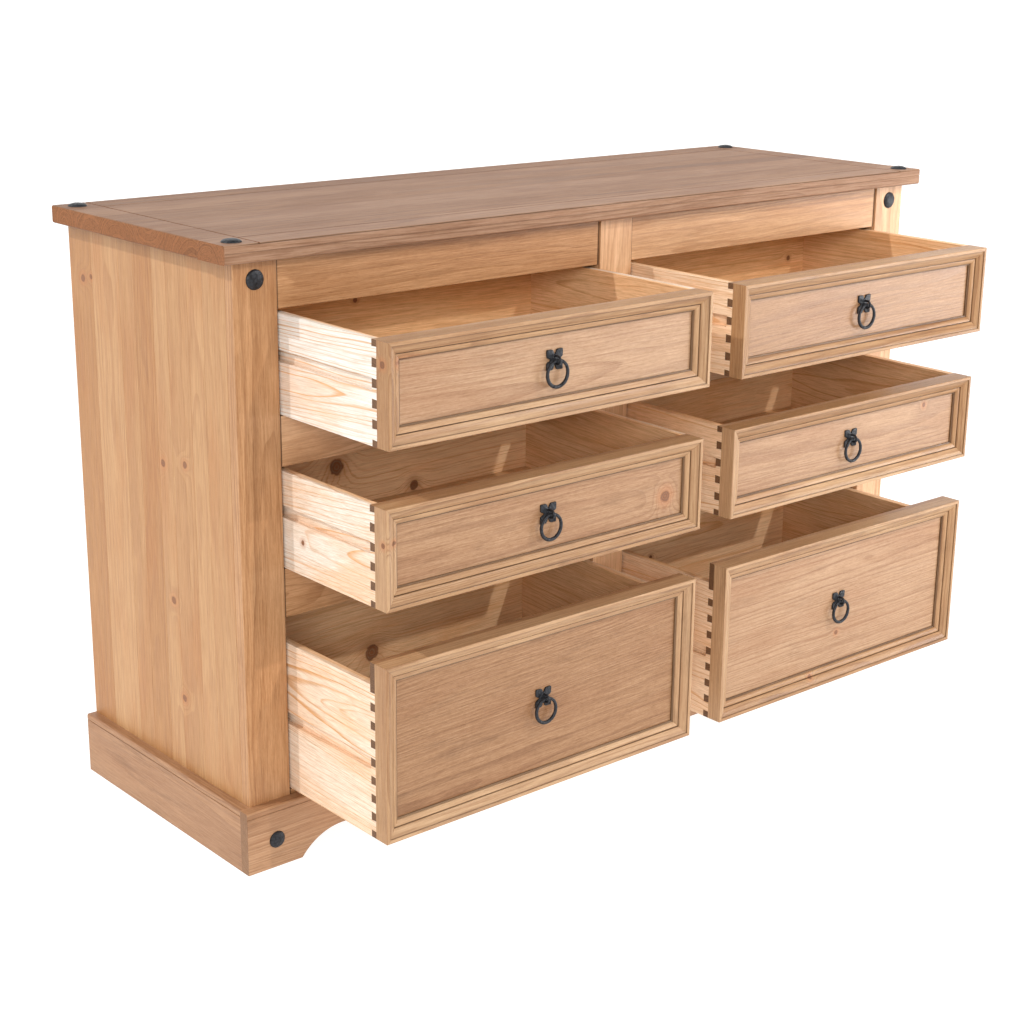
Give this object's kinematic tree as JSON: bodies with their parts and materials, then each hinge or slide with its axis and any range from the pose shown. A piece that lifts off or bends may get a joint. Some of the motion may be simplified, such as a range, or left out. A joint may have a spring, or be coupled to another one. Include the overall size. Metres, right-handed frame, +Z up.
{
  "type": "chest of drawers",
  "caption": "Wide low pine chest: plank top, two columns of dovetailed drawers with moulded fronts and black ring pulls, studs, arched plinth.",
  "frame": {"origin": "on the floor under the middle of the top, at the foot of the centre partition", "axes": "+X to the right along the front, +Y to the back, +Z up; drawers open towards -Y"},
  "size_m": [1.32, 0.642, 0.8396],
  "materials": {
    "waxed_pine": "satin wax over honey stain",
    "stained_top": "satin wax over brown stain",
    "pale_pine": "sanded, unstained",
    "drawer_base": "thin stained board",
    "raw_pine": "sawn, thin stain",
    "back_board": "thin stain, matt",
    "black_iron": "black, hammered, satin"
  },
  "bodies": {
    "carcass": {"top_panel": "stained_top", "side_panel_left": "waxed_pine", "side_panel_right": "waxed_pine", "front_stile_left": "waxed_pine", "front_stile_right": "waxed_pine", "centre_stile": "waxed_pine", "top_rails": "waxed_pine", "drawer_rails": "waxed_pine", "sill_rails": "waxed_pine", "centre_partition": "raw_pine", "back_panel": "back_board", "back_rail": "raw_pine", "drawer_runners": "raw_pine", "plinth_front": "waxed_pine", "plinth_side_left": "waxed_pine", "plinth_side_right": "waxed_pine", "corner_blocks": "raw_pine", "domed_studs": "black_iron"},
    "left_top_drawer": {"left_top_front": "waxed_pine", "left_top_moulding": "waxed_pine", "left_top_sides": "pale_pine", "left_top_back": "pale_pine", "left_top_base": "drawer_base", "left_top_pull_plate": "black_iron"},
    "left_top_ring": {"left_top_pull_ring": "black_iron"},
    "left_middle_drawer": {"left_middle_front": "waxed_pine", "left_middle_moulding": "waxed_pine", "left_middle_sides": "pale_pine", "left_middle_back": "pale_pine", "left_middle_base": "drawer_base", "left_middle_pull_plate": "black_iron"},
    "left_middle_ring": {"left_middle_pull_ring": "black_iron"},
    "left_bottom_drawer": {"left_bottom_front": "waxed_pine", "left_bottom_moulding": "waxed_pine", "left_bottom_sides": "pale_pine", "left_bottom_back": "pale_pine", "left_bottom_base": "drawer_base", "left_bottom_pull_plate": "black_iron"},
    "left_bottom_ring": {"left_bottom_pull_ring": "black_iron"},
    "right_top_drawer": {"right_top_front": "waxed_pine", "right_top_moulding": "waxed_pine", "right_top_sides": "pale_pine", "right_top_back": "pale_pine", "right_top_base": "drawer_base", "right_top_pull_plate": "black_iron"},
    "right_top_ring": {"right_top_pull_ring": "black_iron"},
    "right_middle_drawer": {"right_middle_front": "waxed_pine", "right_middle_moulding": "waxed_pine", "right_middle_sides": "pale_pine", "right_middle_back": "pale_pine", "right_middle_base": "drawer_base", "right_middle_pull_plate": "black_iron"},
    "right_middle_ring": {"right_middle_pull_ring": "black_iron"},
    "right_bottom_drawer": {"right_bottom_front": "waxed_pine", "right_bottom_moulding": "waxed_pine", "right_bottom_sides": "pale_pine", "right_bottom_back": "pale_pine", "right_bottom_base": "drawer_base", "right_bottom_pull_plate": "black_iron"},
    "right_bottom_ring": {"right_bottom_pull_ring": "black_iron"}
  },
  "joints": [
    {"name": "left_top_slide", "type": "slide", "parent": "carcass", "child": "left_top_drawer", "axis": [0, -1, 0], "range_m": [-0.2245, 0.0755]},
    {"name": "left_top_ring_swing", "type": "hinge", "parent": "left_top_drawer", "child": "left_top_ring", "pos_m": [-0.303, -0.4171, 0.6835], "axis": [-1, 0, 0], "range_deg": [-8, 150]},
    {"name": "left_middle_slide", "type": "slide", "parent": "carcass", "child": "left_middle_drawer", "axis": [0, -1, 0], "range_m": [-0.2175, 0.0825]},
    {"name": "left_middle_ring_swing", "type": "hinge", "parent": "left_middle_drawer", "child": "left_middle_ring", "pos_m": [-0.303, -0.4101, 0.48], "axis": [-1, 0, 0], "range_deg": [-8, 150]},
    {"name": "left_bottom_slide", "type": "slide", "parent": "carcass", "child": "left_bottom_drawer", "axis": [0, -1, 0], "range_m": [-0.214, 0.086]},
    {"name": "left_bottom_ring_swing", "type": "hinge", "parent": "left_bottom_drawer", "child": "left_bottom_ring", "pos_m": [-0.303, -0.4066, 0.22275], "axis": [-1, 0, 0], "range_deg": [-8, 150]},
    {"name": "right_top_slide", "type": "slide", "parent": "carcass", "child": "right_top_drawer", "axis": [0, -1, 0], "range_m": [-0.2215, 0.0785]},
    {"name": "right_top_ring_swing", "type": "hinge", "parent": "right_top_drawer", "child": "right_top_ring", "pos_m": [0.303, -0.4141, 0.6835], "axis": [-1, 0, 0], "range_deg": [-8, 150]},
    {"name": "right_middle_slide", "type": "slide", "parent": "carcass", "child": "right_middle_drawer", "axis": [0, -1, 0], "range_m": [-0.213, 0.087]},
    {"name": "right_middle_ring_swing", "type": "hinge", "parent": "right_middle_drawer", "child": "right_middle_ring", "pos_m": [0.303, -0.4056, 0.48], "axis": [-1, 0, 0], "range_deg": [-8, 150]},
    {"name": "right_bottom_slide", "type": "slide", "parent": "carcass", "child": "right_bottom_drawer", "axis": [0, -1, 0], "range_m": [-0.21, 0.09]},
    {"name": "right_bottom_ring_swing", "type": "hinge", "parent": "right_bottom_drawer", "child": "right_bottom_ring", "pos_m": [0.303, -0.4026, 0.22275], "axis": [-1, 0, 0], "range_deg": [-8, 150]}
  ]
}
